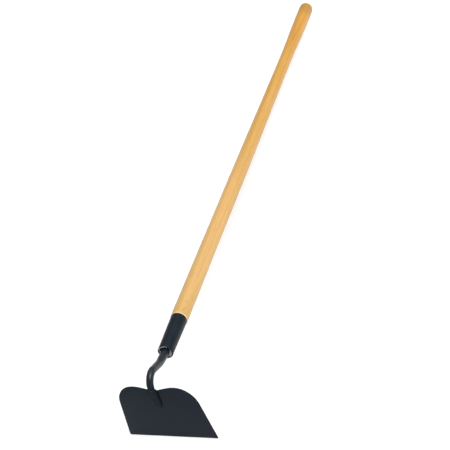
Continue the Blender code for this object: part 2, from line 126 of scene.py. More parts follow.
FINE_RELIEF, PAINT_RELIEF, TURNED_RELIEF = 0.0002, 0.0005, 0.0010


# Sizes and colours

def length(name, description, default):
    """A size in metres."""
    return FloatProperty(
        name=name, description=description, default=default, min=0.0, unit="LENGTH", precision=5
    )


def colour(name, description, default):
    """A linear colour."""
    return FloatVectorProperty(
        name=name, description=description, default=default, size=3, min=0.0, max=1.0,
        subtype="COLOR",
    )


def angle(name, description, default):
    """An angle in radians."""
    return FloatProperty(name=name, description=description, default=default, subtype="ANGLE")


def direction(name, description, default):
    """A direction as X, Y and Z."""
    return FloatVectorProperty(
        name=name, description=description, default=default, size=3, subtype="XYZ", precision=4
    )


class HoePlace(PropertyGroup):
    """How the tool lies on the floor."""

    tilt: angle("Tilt", "Fall of the stick from the head to the butt", 0.089804)
    mouth: FloatVectorProperty(
        name="Mouth", description="Middle of the ferrule's mouth", size=3, precision=5,
        default=(0.0, -0.627956, 0.138110), subtype="XYZ", unit="LENGTH",
    )


class HoeStickSizes(PropertyGroup):
    """Sizes of the turned stick, measured from the ferrule's mouth."""

    tenon_end: length("Tenon end", "Depth of the wood's end inside the mouth", 0.0034)
    butt_end: length("Butt end", "Top of the domed butt", 1.35334)
    diameter: length("Diameter", "Over the straight front half", 0.0324)
    straight_to: length("Straight to", "Where the stick begins to slim", 0.480)
    waist_diameter: length("Waist diameter", "Where the upper hand grips", 0.0293)
    waist_at: length("Waist at", "Place of the slimmest girth", 1.0584)
    butt_diameter: length("Butt diameter", "Flare at the butt", 0.0354)
    flare_end: length("Flare end", "Where the flare is full", 1.3034)
    dome: length("Dome", "Height of the rounded butt", 0.010)
    shoulder: length("Shoulder", "Where the wood meets the ferrule", 0.0873)
    chamfer: length("Chamfer", "Eased edge of the shoulder", 0.0012)


class HoeFerruleSizes(PropertyGroup):
    """Sizes of the drawn ferrule."""

    reach: length("Length", "From the rim to the upper end", 0.087)
    top_diameter: length("Top diameter", "Outside, at the shoulder of the wood", 0.0307)
    mouth_diameter: length("Mouth diameter", "Outside, above the curled rim", 0.0280)
    wall: length("Wall", "Thickness of the steel", 0.0012)
    rim: length("Rim", "Thickness of the curled rim", 0.0026)
    rim_proud: length("Rim proud", "How far the rim stands outside the tube", 0.0003)
    pin_at: length("Pin at", "Drive pin, from the mouth", 0.052)
    pin_diameter: length("Pin diameter", "Shank of the drive pin", 0.0030)
    pin_head: length("Pin head", "Diameter of the pin's domed head", 0.0054)


class HoeNeckSizes(PropertyGroup):
    """Sizes of the forged neck."""

    diameter: length("Diameter", "At the ferrule", 0.0152)
    bend_diameter: length("Bend diameter", "At the crown", 0.0134)
    tang: length("Tang", "Length inside the wood", 0.105)
    tang_tip: length("Tang tip", "Diameter of the tang's end", 0.0070)
    rise_reach: length("Rise reach", "First bend, ahead of the mouth", 0.0320)
    rise_height: length("Rise height", "First bend, above the axis", 0.0048)
    crown_reach: length("Crown reach", "Crown's corner, ahead of the mouth", 0.0820)
    crown_height: length("Crown height", "Crown's corner, above the axis", 0.0263)
    mouth_bend: length("Mouth bend", "Radius of the bend at the mouth", 0.060)
    rise_bend: length("Rise bend", "Radius of the first bend", 0.060)
    crown_bend: length("Crown bend", "Radius of the crown bend", 0.018)
    ankle_bend: length("Ankle bend", "Radius above the blade", 0.024)
    ankle: length("Ankle", "Straight rod above the notch", 0.007)
    foot: length("Foot", "Length of the foot on the blade", 0.048)
    foot_width: length("Foot width", "At the notch", 0.0120)
    foot_tip_width: length("Foot tip width", "At the foot's end", 0.0070)
    foot_thick: length("Foot thickness", "At the notch", 0.0060)
    foot_tip_thick: length("Foot tip thickness", "At the foot's end", 0.0014)
    foot_nose: length("Foot nose", "Length of the foot's rounded end", 0.0040)
    flat_above: length("Flat above", "Where the rod is flat already, above the notch", 0.0030)
    run_out: length("Run out", "Over which the round rod becomes flat", 0.0160)


class HoeBladeSizes(PropertyGroup):
    """Sizes of the blade."""

    width: length("Width", "Along the cutting edge", 0.16638)
    height: length("Height", "From the edge to the lobes", 0.1412)
    thickness: length("Thickness", "Of the plate", 0.0022)
    notch: length("Notch", "Depth below the lobes", 0.0089)
    lobes: length("Lobes", "Distance between the lobes", 0.0738)
    shoulder_width: length("Shoulder width", "Where the straight sides end", 0.1466)
    shoulder_height: length("Shoulder height", "Above the edge", 0.0975)
    shoulder_reach: length("Shoulder reach", "Curve handle above the shoulder", 0.0250)
    lobe_outer: length("Lobe outer reach", "Curve handle outside a lobe", 0.0192)
    lobe_inner: length("Lobe inner reach", "Curve handle inside a lobe", 0.0135)
    notch_reach: length("Notch reach", "Curve handle at the notch", 0.0094)
    corner: length("Corner", "Radius of the lower corners", 0.0015)
    rim: length("Rim", "Rounding of the sheared rim", 0.0004)
    grind: length("Grind", "Width of the ground bevel", 0.0070)
    edge: length("Edge", "Thickness of the cutting edge", 0.0008)
    angle: angle("Angle", "Between the blade and the stick", math.radians(82.4))
    ahead: length("Ahead", "Notch of the outer face, ahead of the mouth", 0.0809)
    below: length("Below", "Notch of the outer face, below the axis", 0.0133)


class HoeWeldSizes(PropertyGroup):
    """Sizes of the welds."""

    side: length("Side bead", "Diameter of a side bead", 0.0026)
    side_start: length("Side start", "Below the notch", 0.0030)
    side_length: length("Side length", "Along the foot", 0.034)
    notch: length("Notch bead", "Diameter of the bead in the notch", 0.0030)
    notch_length: length("Notch length", "Across the notch", 0.0070)
    ripple: length("Ripple", "Distance between two ripples", 0.0009)
    seed: IntProperty(name="Seed", description="Unevenness of the ripples", default=7)


class HoeColours(PropertyGroup):
    """Colours of the finishes."""

    wood: colour("Wood", "Summer growth under the lacquer", (0.635, 0.397, 0.131))
    wood_dark: colour("Dark wood", "Spring growth under the lacquer", (0.485, 0.250, 0.065))
    wood_pore: colour("Pores", "Open pores of the ash", (0.27, 0.104, 0.027))
    # Painted sheen: pale bands that stand in for the silky shimmer of ash
    wood_silk_sheen: colour("Silk", "Broad pale bands along the stick", (0.84, 0.515, 0.235))
    wood_toast: colour("Toast", "Lacquer that browns towards the butt", (0.96, 0.78, 0.36))
    wood_dip: colour("Dip", "Second coat over the butt", (0.76, 0.765, 0.83))
    wood_end: colour("End grain", "Lacquer soaked into the end grain", (0.62, 0.47, 0.34))
    wood_raw: colour("Raw wood", "The tenon's end inside the mouth", (0.90, 0.86, 0.82))
    wood_fibre: colour("Raw fibres", "Grey fibres of that end", (0.10, 0.085, 0.07))
    # Bare wood and painted highlight: the paler eased edge above the ferrule
    wood_bare_and_highlight: colour("Bare wood", "Eased shoulder above the ferrule", (0.86, 0.63, 0.36))
    paint: colour("Paint", "Baked blue-black paint", (0.0078, 0.0123, 0.0196))
    paint_plate: colour("Plate paint", "The same on rolled plate", (0.0096, 0.0152, 0.0240))
    paint_cloud: colour("Cloudy paint", "Where it lies thicker", (0.016, 0.022, 0.030))
    paint_worn: colour("Dusty paint", "Fine specks in the paint", (0.040, 0.046, 0.054))
    # Painted shade: darker paint over the ground bevel, for how its slope takes the light
    paint_bevel_shade: colour("Bevel paint", "Over the ground bevel", (0.006, 0.008, 0.011))
    # Painted shade: darkens the gap under the stick's shoulder, and with the dark weld scale the
    # corners beside the foot
    paint_deep_and_shade: colour("Deep paint", "In weld scale and in the seam", (0.002, 0.003, 0.004))
    steel: colour("Steel", "Bare steel inside the rim", (0.42, 0.41, 0.39))
    steel_dull: colour("Dull steel", "Handled steel of the pin", (0.20, 0.18, 0.16))
    # Near-white colour laid over the rim on one side, right round to its front
    rim_pale: colour("Primer", "Where the paint is knocked off the rim", (0.82, 0.84, 0.90))
    floor: colour("Floor", "Pale studio floor, lit from below", (0.58, 0.58, 0.58))


class HoeStage(PropertyGroup):
    """Camera and studio."""

    camera_at: FloatVectorProperty(
        name="Camera", description="Place of the camera", size=3, precision=4,
        default=(0.6867, -1.7907, 1.4625), subtype="XYZ", unit="LENGTH",
    )
    camera_right: direction("Camera right", "To the right of the view", (0.9501, 0.2207, -0.2204))
    camera_up: direction("Camera up", "To the top of the view", (0.0177, 0.6675, 0.7444))
    lens: FloatProperty(name="Lens", description="Focal length in mm", default=86.2)
    floor_radius: length("Floor", "Radius of the floor", 30.0)
    floor_glow: FloatProperty(name="Floor glow", description="Light from below", default=0.52)
    wall_height: length("Wall", "Height of the far wall", 40.0)
    key: FloatProperty(name="Key", description="Strength of the main light", default=2.8)
    key_from: direction("Key from", "Where the main light comes from", (0.80, -0.50, 1.95))
    key_spread: angle("Key spread", "Softness of the main light", math.radians(36.0))
    top: FloatProperty(name="Top", description="Strength of the light overhead", default=1.1)
    top_from: direction("Top from", "Where the light overhead comes from", (0.1, 0.5, 1.0))
    top_spread: angle("Top spread", "Softness of the light overhead", math.radians(80.0))
    sky: FloatProperty(name="Sky", description="Strength of the light all round", default=0.16)


GROUPS = {
    "hoe_place": HoePlace,
    "hoe_stick": HoeStickSizes,
    "hoe_ferrule": HoeFerruleSizes,
    "hoe_neck": HoeNeckSizes,
    "hoe_blade": HoeBladeSizes,
    "hoe_weld": HoeWeldSizes,
    "hoe_colours": HoeColours,
    "hoe_stage": HoeStage,
}


# Mesh helpers

def tool_matrix():
    """From the tool's own frame to the floor."""
    place = bpy.context.scene.hoe_place
    return Matrix.Translation(place.mouth) @ Matrix.Rotation(-place.tilt, 4, "X")


def ease(start, end, share):
    """Value between start and end that leaves and arrives level."""
    share = min(1.0, max(0.0, share))
    return start + (end - start) * 0.5 * (1 - math.cos(math.pi * share))


def quarter(steps):
    """Even angles over a quarter turn."""
    return [0.5 * math.pi * step / steps for step in range(steps + 1)]


def add_object(name, data):
    """A new object in the scene."""
    item = bpy.data.objects.new(name, data)
    bpy.context.scene.collection.objects.link(item)
    return item


def matrix_at(origin, *axes):
    """Matrix that moves to a point and turns X, Y and Z onto the given axes."""
    return Matrix.Translation(origin) @ Matrix(axes).transposed().to_4x4()


def tidy_mesh(mesh):
    """Weld doubles, turn every face outwards and smooth the round sides."""
    body = bmesh.new()
    body.from_mesh(mesh)
    bmesh.ops.remove_doubles(body, verts=body.verts, dist=MERGE)
    bmesh.ops.recalc_face_normals(body, faces=body.faces)
    if body.calc_volume(signed=True) < 0:
        bmesh.ops.reverse_faces(body, faces=body.faces)
    body.to_mesh(mesh)
    body.free()
    mesh.shade_smooth()
    mesh.set_sharp_from_angle(angle=SMOOTH_ANGLE)


def place_piece(name, mesh, material, nodes):
    """Tidy a mesh of the tool's frame and lay it on the floor as a finished piece."""
    tidy_mesh(mesh)
    mesh.transform(tool_matrix())
    mesh.materials.clear()
    mesh.materials.append(material)
    piece = add_object(name, mesh)
    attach(piece, BODY)
    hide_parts(*nodes)


def turned_mesh(name, profile, steps, closed=False):
    """Turn (radius, height) points about the Y axis."""
    body = bmesh.new()
    turns = [2 * math.pi * step / steps for step in range(steps)]
    rings = []
    for radius, height in profile:
        if radius == 0:
            rings.append([body.verts.new((0.0, height, 0.0))] * steps)
        else:
            rings.append([
                body.verts.new((radius * math.cos(turn), height, -radius * math.sin(turn)))
                for turn in turns
            ])
    pairs = list(zip(rings, rings[1:]))
    if closed:
        pairs.append((rings[-1], rings[0]))
    for ring, beyond in pairs:
        for step in range(steps):
            after = (step + 1) % steps
            corners = (ring[step], ring[after], beyond[after], beyond[step])
            body.faces.new(list(dict.fromkeys(corners)))
    mesh = bpy.data.meshes.new(name)
    body.to_mesh(mesh)
    body.free()
    return mesh


def plain_mesh(carrier):
    """Mesh of an evaluated curve object, which is then removed with its modifier and curve."""
    bpy.context.view_layer.update()
    shape = carrier.evaluated_get(bpy.context.evaluated_depsgraph_get())
    mesh = bpy.data.meshes.new_from_object(shape)
    mesh.name = carrier.name
    if not mesh.polygons:
        raise RuntimeError(f"the curve gave no faces for {carrier.name}")
    curve = carrier.data
    carrier.modifiers.clear()
    bpy.data.objects.remove(carrier, do_unlink=True)
    bpy.data.curves.remove(curve)
    return mesh


# Node trees

class Nodes:
    """A node tree in the making."""

    def __init__(self, tree):
        self.tree = tree

    def feed(self, socket, value):
        """Link a value to a socket, or set it there."""
        if isinstance(value, bpy.types.NodeSocket):
            self.tree.links.new(value, socket)
        else:
            socket.default_value = value

    def add(self, kind, inputs=None, **settings):
        """Add a node, set it, and link or fill its inputs."""
        node = self.tree.nodes.new(kind)
        for key, value in settings.items():
            setattr(node, key, value)
        for key, value in (inputs or {}).items():
            self.feed(node.inputs[key], value)
        return node

    def calc(self, operation, first, second=0.0):
        """Result of a sum on two values."""
        inputs = {0: first, 1: second}
        return self.add("ShaderNodeMath", inputs, operation=operation).outputs["Value"]


class Shape(Nodes):
    """A geometry tree that makes one mesh along a path, with its sizes as named inputs."""

    def __init__(self, name, **sizes):
        super().__init__(bpy.data.node_groups.new(name, "GeometryNodeTree"))
        sockets = {"Path": "Geometry", **sizes, "Material": "Material"}
        face = self.tree.interface
        self.keys = {
            key: face.new_socket(key, in_out="INPUT", socket_type="NodeSocket" + kind).identifier
            for key, kind in sockets.items()
        }
        face.new_socket("Mesh", in_out="OUTPUT", socket_type="NodeSocketGeometry")
        self.given = self.add("NodeGroupInput").outputs

    def close(self, mesh):
        """Make the mesh real, give it its material and send it to the output."""
        real = self.add("GeometryNodeRealizeInstances", {"Geometry": mesh})
        inputs = {"Geometry": real.outputs["Geometry"], "Material": self.given["Material"]}
        painted = self.add("GeometryNodeSetMaterial", inputs)
        self.add("NodeGroupOutput", {0: painted.outputs["Geometry"]})
        return self


def bar_tree():
    """Round bar along a path: the path's own radius times a circle, with closed ends."""
    bar = Shape("bar_along_path", Sides="Int")
    sides = {"Resolution": bar.given["Sides"], "Radius": 1.0}
    circle = bar.add("GeometryNodeCurvePrimitiveCircle", sides)
    skin = bar.add("GeometryNodeCurveToMesh", {
        "Curve": bar.given["Path"],
        "Profile Curve": circle.outputs["Curve"],
        "Scale": bar.add("GeometryNodeInputRadius").outputs["Radius"],
        "Fill Caps": True,
    })
    return bar.close(skin.outputs["Mesh"])


def ripple_tree():
    """Weld bead: flat puddles laid one over the other along a path, in one skin."""
    bead = Shape("weld_ripples", Spacing="Float", Seed="Int")
    given = bead.given
    spaced = {"Curve": given["Path"], "Length": given["Spacing"]}
    points = bead.add("GeometryNodeResampleCurve", spaced, mode="LENGTH")
    tangent = bead.add("GeometryNodeInputTangent").outputs["Tangent"]
    align = bead.add("FunctionNodeAlignRotationToVector", {"Vector": tangent}, axis="Z")
    leaning = {"Rotation": align.outputs["Rotation"], "Rotate By": (PUDDLE_LEAN, 0.0, 0.0)}
    lean = bead.add("FunctionNodeRotateRotation", leaning, rotation_space="LOCAL")
    least, greatest = PUDDLE_SIZES
    shares = {2: least, 3: greatest, "Seed": given["Seed"]}
    uneven = bead.add("FunctionNodeRandomValue", shares, data_type="FLOAT")
    radius = bead.add("GeometryNodeInputRadius").outputs["Radius"]
    size = bead.calc("MULTIPLY", radius, uneven.outputs[1])
    thin = bead.calc("MULTIPLY", size, PUDDLE_FLATNESS)
    ball = {"Segments": PUDDLE_SEGMENTS, "Rings": PUDDLE_RINGS, "Radius": 1.0}
    puddle = bead.add("GeometryNodeMeshUVSphere", ball)
    flat = bead.add("ShaderNodeCombineXYZ", {"X": size, "Y": size, "Z": thin})
    laid = bead.add("GeometryNodeInstanceOnPoints", {
        "Points": points.outputs["Curve"],
        "Instance": puddle.outputs["Mesh"],
        "Rotation": lean.outputs["Rotation"],
        "Scale": flat.outputs["Vector"],
    })
    puddles = {"Mesh 2": laid.outputs["Instances"]}
    skin = bead.add("GeometryNodeMeshBoolean", puddles, operation="UNION", solver="EXACT")
    return bead.close(skin.outputs["Mesh"])


def baked_along(name, route, shape, **values):
    """Run a geometry tree on a path of (point, radius) and return its plain mesh."""
    curve = bpy.data.curves.new(name, "CURVE")
    curve.dimensions = "3D"
    line = curve.splines.new("POLY")
    line.points.add(len(route) - 1)
    for knot, (point, radius) in zip(line.points, route):
        knot.co = (*point, 1.0)
        knot.radius = radius
    carrier = add_object(name, curve)
    modifier = carrier.modifiers.new(name, "NODES")
    modifier.node_group = shape.tree
    for key, value in values.items():
        modifier[shape.keys[key]] = value
    return plain_mesh(carrier)


# Routes in the tool's frame

def tang_radius(height):
    """Radius of the tang at a height above the mouth."""
    neck = bpy.context.scene.hoe_neck
    share = max(0.0, height / neck.tang)
    return (neck.diameter + (neck.tang_tip - neck.diameter) * share) / 2


def blade_directions():
    """Notch of the outer face, unit vector down the blade, unit vector out of that face."""
    blade = bpy.context.scene.hoe_blade
    notch = Vector((0.0, -blade.ahead, -blade.below))
    down = Vector((0.0, math.cos(blade.angle), -math.sin(blade.angle)))
    out = Vector((0.0, -math.sin(blade.angle), -math.cos(blade.angle)))
    return notch, down, out


def foot_radius(down):
    """Half the width of the foot at a distance down the blade from the notch."""
    neck = bpy.context.scene.hoe_neck
    return (neck.foot_width + (neck.foot_tip_width - neck.foot_width) * down / neck.foot) / 2


def foot_flatness(down):
    """Thickness over width: 1 on the round rod, falling to that of the foot at the notch."""
    neck = bpy.context.scene.hoe_neck
    above = -down - neck.flat_above
    if above > 0:
        return ease(neck.foot_thick / neck.foot_width, 1.0, above / neck.run_out)
    share = max(0.0, down) / neck.foot
    thickness = neck.foot_thick + (neck.foot_tip_thick - neck.foot_thick) * share
    return thickness / (neck.foot_width + (neck.foot_tip_width - neck.foot_width) * share)


def beside_foot(down, size, sunk):
    """How far to the side a bead lies that sinks a little into the foot's oval."""
    wide = foot_radius(down)
    thick = wide * foot_flatness(down)
    apart = size - sunk
    across = 0.0
    for turn in quarter(BEAD_STEPS)[:-1]:
        rise = thick * (1 - math.sin(turn)) - size
        if abs(rise) < apart:
            reach = wide * math.cos(turn) + math.sqrt(apart ** 2 - rise ** 2)
            across = max(across, reach)
    return across


def foot_centre(distance):
    """Centre of the foot, which lies on the blade's outer face."""
    notch, down, out = blade_directions()
    return notch + down * distance + out * foot_radius(distance)


def rounded_route(corners, radii):
    """Straight legs whose inner corners are rounded to the given radii."""
    points = [corners[0]]
    for before, corner, after, radius in zip(corners, corners[1:], corners[2:], radii):
        to_before = (before - corner).normalized()
        to_after = (after - corner).normalized()
        half = 0.5 * to_before.angle(to_after)
        centre = corner + (to_before + to_after).normalized() * (radius / math.sin(half))
        start = corner + to_before * (radius / math.tan(half)) - centre
        end = corner + to_after * (radius / math.tan(half)) - centre
        sweep = start.angle(end)
        count = max(BEND_STEPS_MIN, math.ceil(sweep / BEND_STEP))
        for step in range(count + 1):
            share = step / count
            near = math.sin((1 - share) * sweep) / math.sin(sweep)
            far = math.sin(share * sweep) / math.sin(sweep)
            points.append(centre + start * near + end * far)
    points.append(corners[-1])
    return points


def even_steps(points, spacing):
    """The same route with points no further apart than the spacing."""
    route = [points[0]]
    for before, after in zip(points, points[1:]):
        count = max(1, math.ceil((after - before).length / spacing))
        for step in range(1, count + 1):
            route.append(before.lerp(after, step / count))
    return route


def neck_route():
    """Centre line and radius of the rod, from the tang's tip to the foot's tip."""
    neck = bpy.context.scene.hoe_neck
    foot_line = (foot_centre(0.0) - foot_centre(neck.foot)).normalized()
    corners = [
        Vector((0.0, neck.tang, 0.0)),
        Vector((0.0, 0.0, 0.0)),
        Vector((0.0, -neck.rise_reach, neck.rise_height)),
        Vector((0.0, -neck.crown_reach, neck.crown_height)),
        foot_centre(0.0) + foot_line * neck.ankle,
        foot_centre(neck.foot),
    ]
    radii = [neck.mouth_bend, neck.rise_bend, neck.crown_bend, neck.ankle_bend]
    points = even_steps(rounded_route(corners, radii), ROUTE_SPACING)
    crown = min(range(len(points)), key=lambda i: points[i].y)
    travelled = [0.0]
    for before, after in zip(points, points[1:]):
        travelled.append(travelled[-1] + (after - before).length)
    foot_begins = travelled[-1] - neck.foot
    route = []
    for index, (point, distance) in enumerate(zip(points, travelled)):
        if point.y >= 0 and index < crown:
            radius = tang_radius(point.y)
        elif distance <= foot_begins:
            share = (distance - neck.tang) / (foot_begins - neck.tang)
            if share < 0.5:
                radius = ease(neck.diameter, neck.bend_diameter, 2 * share) / 2
            else:
                radius = ease(neck.bend_diameter, neck.foot_width, 2 * share - 1) / 2
        else:
            radius = foot_radius(distance - foot_begins)
            nose = 1 - (travelled[-1] - distance) / neck.foot_nose
            if nose > 0:
                radius *= math.sqrt(max(NOSE_SHARE, 1 - nose ** 2))
        route.append((point, radius))
    return route


def side_weld_route(side):
    """Corner between the foot and the blade, on one side of the foot."""
    weld = bpy.context.scene.hoe_weld
    notch, down, out = blade_directions()
    route = []
    for step in range(BEAD_STEPS + 1):
        distance = weld.side_start + weld.side_length * step / BEAD_STEPS
        foot_half = foot_radius(distance) * foot_flatness(distance)
        size = min(weld.side / 2, BEAD_SHARE * foot_half)
        across = beside_foot(distance, size, BEAD_SUNK * size)
        place = notch + down * distance + out * (BEAD_RISE * size)
        route.append((place + Vector((side * across, 0.0, 0.0)), size))
    return route


def notch_weld_route():
    """Across the notch, behind the neck and on the plate's upper rim."""
    weld = bpy.context.scene.hoe_weld
    notch, down, out = blade_directions()
    bead = weld.notch / 2
    half = weld.notch_length / 2
    middle = notch - down * (NOTCH_BEAD_RISE * bead) - out * bead
    return [(middle + Vector((share * half, 0, 0)), bead) for share in (-1, -0.5, 0, 0.5, 1)]


# Finishes. A noise is given its scale, detail and roughness. A band is given where it begins
# and ends, and what it yields there.

def rgba(value):
    """A colour with full alpha. A socket stays as it is."""
    return value if isinstance(value, bpy.types.NodeSocket) else (*value, 1.0)


class Finish(Nodes):
    """A material in the making: its tree, its shader and the piece's own coordinates."""

    def __init__(self, name, base, specular):
        self.material = bpy.data.materials.new(name)
        self.material.use_nodes = True
        super().__init__(self.material.node_tree)
        self.shader = self.tree.nodes["Principled BSDF"]
        self.base = base
        self.normal = None
        self.give("Specular IOR Level", specular)
        self.where = self.add("ShaderNodeTexCoord").outputs["Object"]

    def give(self, key, value):
        """Link or fill an input of the shader."""
        self.feed(self.shader.inputs[key], value)

    def vector(self, operation, first, second=(0.0, 0.0, 0.0), result="Vector"):
        """Result of a sum on two vectors."""
        inputs = {0: first, 1: second}
        return self.add("ShaderNodeVectorMath", inputs, operation=operation).outputs[result]

    def split(self, vector):
        """The three parts of a vector."""
        return self.add("ShaderNodeSeparateXYZ", {"Vector": vector}).outputs

    def across(self, first, second):
        """A vector across the stick."""
        return self.add("ShaderNodeCombineXYZ", {"X": first, "Z": second}).outputs["Vector"]

    def noise(self, vector, scale, detail=2.0, roughness=0.5, result="Fac"):
        """A noise pattern."""
        inputs = {"Vector": vector, "Scale": scale, "Detail": detail, "Roughness": roughness}
        return self.add("ShaderNodeTexNoise", inputs).outputs[result]

    def drawn(self, vector, stretch, detail=2.0, roughness=0.5, result="Fac"):
        """A noise pattern that is drawn out along an axis."""
        mapped = self.add("ShaderNodeMapping", {"Vector": vector, "Scale": stretch})
        return self.noise(mapped.outputs["Vector"], 1.0, detail, roughness, result)

    def wave(self, vector, pattern, **settings):
        """A wave pattern."""
        inputs = {"Vector": vector, **pattern}
        return self.add("ShaderNodeTexWave", inputs, **settings).outputs["Fac"]

    def band(self, value, low, high, bottom=0.0, top=1.0):
        """Map a stretch of values smoothly onto another."""
        inputs = {"Value": value, 1: low, 2: high, 3: bottom, 4: top}
        smooth = self.add("ShaderNodeMapRange", inputs, interpolation_type="SMOOTHSTEP")
        return smooth.outputs["Result"]

    def blend(self, share, first, second, mode="MIX"):
        """Mix two colours."""
        inputs = {0: share, 6: rgba(first), 7: rgba(second)}
        return self.add("ShaderNodeMix", inputs, data_type="RGBA", blend_type=mode).outputs[2]

    def framed(self, origin, turn):
        """Coordinates in a frame that stands at a point and is turned about X."""
        inputs = {"Vector": self.where, "Location": tuple(origin), "Rotation": (turn, 0, 0)}
        return self.add("ShaderNodeMapping", inputs, vector_type="TEXTURE").outputs["Vector"]

    def in_tool(self):
        """Coordinates in the tool's own frame."""
        place = bpy.context.scene.hoe_place
        return self.framed(place.mouth, -place.tilt)

    def tint(self, share, second, mode="MIX"):
        """Lay a colour over the base colour."""
        self.base = self.blend(share, self.base, second, mode)

    def emboss(self, height, strength, distance):
        """Add a bump to the surface."""
        inputs = {"Height": height, "Strength": strength, "Distance": distance}
        if self.normal is not None:
            inputs["Normal"] = self.normal
        self.normal = self.add("ShaderNodeBump", inputs).outputs["Normal"]

    def done(self):
        """Hand the base colour and the bumps to the shader."""
        self.give("Base Color", self.base)
        if self.normal is not None:
            self.give("Normal", self.normal)
        return self.material


def lacquered_ash():
    """Turned ash under clear lacquer, with growth rings, pores and a paler eased shoulder that is
    bare wood and a painted highlight.
    """
    scene = bpy.context.scene
    tints, stick = scene.hoe_colours, scene.hoe_stick
    wood = Finish("lacquered_ash", tints.wood, specular=0.22)
    tool = wood.in_tool()
    parts = wood.split(tool)
    along = parts["Y"]

    # Growth rings round a pith that lies outside the stick and runs a little askew to it
    wander = wood.drawn(tool, RING_WANDER, result="Color")
    offset = wood.vector("SUBTRACT", wander, (0.5, 0.5, 0.5))
    offset = wood.vector("MULTIPLY", offset, RING_SHIFT)
    bent = wood.vector("ADD", tool, offset)
    log = wood.add(
        "ShaderNodeMapping", {"Vector": bent, "Location": PITH, "Rotation": PITH_LEAN}
    ).outputs["Vector"]
    rings = wood.wave(log, RINGS, wave_type="RINGS", rings_direction="Y", wave_profile="SAW")
    spring = wood.calc("SUBTRACT", 1.0, wood.band(rings, 0.0, 0.55))
    late = wood.band(rings, 0.75, 1.0)

    # Fibres, pores and broad pale bands of painted sheen for ash's silky shimmer, all drawn out
    # along the stick
    fibres = wood.drawn(tool, FIBRES, 3.0, 0.6)
    streaks = wood.drawn(tool, STREAKS, 3.0, 0.55)
    silk_sheen = wood.drawn(tool, SILK_SHEEN, 1.0)
    pores = wood.calc("MULTIPLY", wood.band(wood.drawn(tool, PORES, 1.0), 0.58, 0.69), spring)

    share = wood.calc("MULTIPLY", spring, 0.50)
    share = wood.calc("ADD", share, wood.calc("MULTIPLY", late, 0.16))
    share = wood.calc("MULTIPLY", share, wood.band(streaks, 0.25, 0.75, 0.45, 1.25))
    wood.tint(share, tints.wood_dark)
    wood.tint(wood.band(fibres, 0.35, 0.75, 0.0, 0.34), tints.wood_dark)
    wood.tint(wood.calc("MULTIPLY", pores, 0.55), tints.wood_pore)
    # Painted sheen: broad pale bands for the silky shimmer of ash
    wood.tint(wood.band(silk_sheen, 0.35, 0.70, 0.0, 0.30), tints.wood_silk_sheen)

    # The lacquer browns towards the butt, which is dipped once more
    butt = stick.butt_end
    wood.tint(wood.band(along, 0.10, butt + 0.10), tints.wood_toast, "MULTIPLY")
    wood.tint(wood.band(along, butt - 0.090, butt - 0.030), tints.wood_dip, "MULTIPLY")

    # End grain drinks more lacquer and is darker
    tilt = scene.hoe_place.tilt
    axis = (0.0, math.cos(tilt), -math.sin(tilt))
    facing = wood.add("ShaderNodeNewGeometry").outputs["Normal"]
    end_on = wood.calc("ABSOLUTE", wood.vector("DOT_PRODUCT", facing, axis, "Value"))
    wood.tint(wood.band(end_on, 0.45, 0.95, 0.0, 0.55), tints.wood_end, "MULTIPLY")

    # Paler edge above the ferrule: bare wood, and a painted highlight where the eased edge
    # catches the light
    edge = stick.shoulder
    wood.tint(wood.band(along, edge + 0.0022, edge + 0.0008), tints.wood_bare_and_highlight)

    # The tenon's end inside the mouth: raw and grey, with dark paint round the rod that also
    # paints the recess's shade
    off_axis = wood.across(
        wood.calc("ADD", parts["X"], PAINT_AND_SHADE_SHIFT), wood.calc("SUBTRACT", parts["Z"], PAINT_AND_SHADE_SHIFT)
    )
    ragged = wood.calc(
        "ADD", wood.vector("LENGTH", off_axis, result="Value"),
        wood.band(wood.noise(tool, 300.0, 3.0), 0.3, 0.7, -0.0006, 0.0006),
    )
    rod = scene.hoe_neck.diameter / 2
    raw = wood.blend(
        wood.band(ragged, rod + 0.0010, rod + 0.0021), tints.paint, tints.wood_raw
    )
    raw = wood.blend(wood.band(fibres, 0.3, 0.7, 0.0, 0.30), raw, tints.wood_fibre)
    hidden = wood.band(along, stick.tenon_end + 0.0030, stick.tenon_end + 0.0010)
    wood.tint(hidden, raw)

    gloss = wood.band(wood.noise(tool, 60.0, 3.0), 0.3, 0.7, 0.36, 0.50)
    wood.give("Roughness", wood.calc("MAXIMUM", gloss, wood.calc("MULTIPLY", hidden, 0.8)))
    wood.give("Coat Weight", 0.15)
    wood.give("Coat Roughness", 0.22)
    wood.give("Coat IOR", 1.45)
    wood.emboss(wood.calc("SUBTRACT", 1.0, pores), 0.30, FINE_RELIEF)
    wood.emboss(fibres, 0.16, FINE_RELIEF)
    lathe = wood.wave(tool, LATHE_MARKS, wave_type="BANDS", bands_direction="Y")
    wood.emboss(lathe, 0.05, FINE_RELIEF)
    wood.emboss(wood.noise(tool, 38.0), 0.20, TURNED_RELIEF)
    return wood.done()


def baked_paint(name, base, roughness, specular, grain, relief):
    """Blue-black baked paint on steel: cloudy gloss, fine dust and the metal's own relief."""
    tints = bpy.context.scene.hoe_colours
    paint = Finish(name, base, specular)
    cloud = paint.noise(paint.where, CLOUD, 3.0, 0.55)
    fine = paint.noise(paint.where, FINE_GRAIN)
    dust = paint.noise(paint.where, DUST, 1.0)
    paint.tint(paint.band(cloud, 0.30, 0.72, 0.0, 0.45), tints.paint_cloud)
    paint.tint(paint.band(dust, 0.70, 0.80, 0.0, 0.35), tints.paint_worn)
    paint.give("Roughness", paint.calc(
        "ADD", paint.band(cloud, 0.25, 0.75, roughness - 0.05, roughness + 0.06),
        paint.band(fine, 0.3, 0.7, -0.03, 0.05),
    ))
    paint.emboss(paint.noise(paint.where, grain, 3.0, 0.6), relief, PAINT_RELIEF)
    paint.emboss(fine, 0.14, FINE_RELIEF)
    return paint


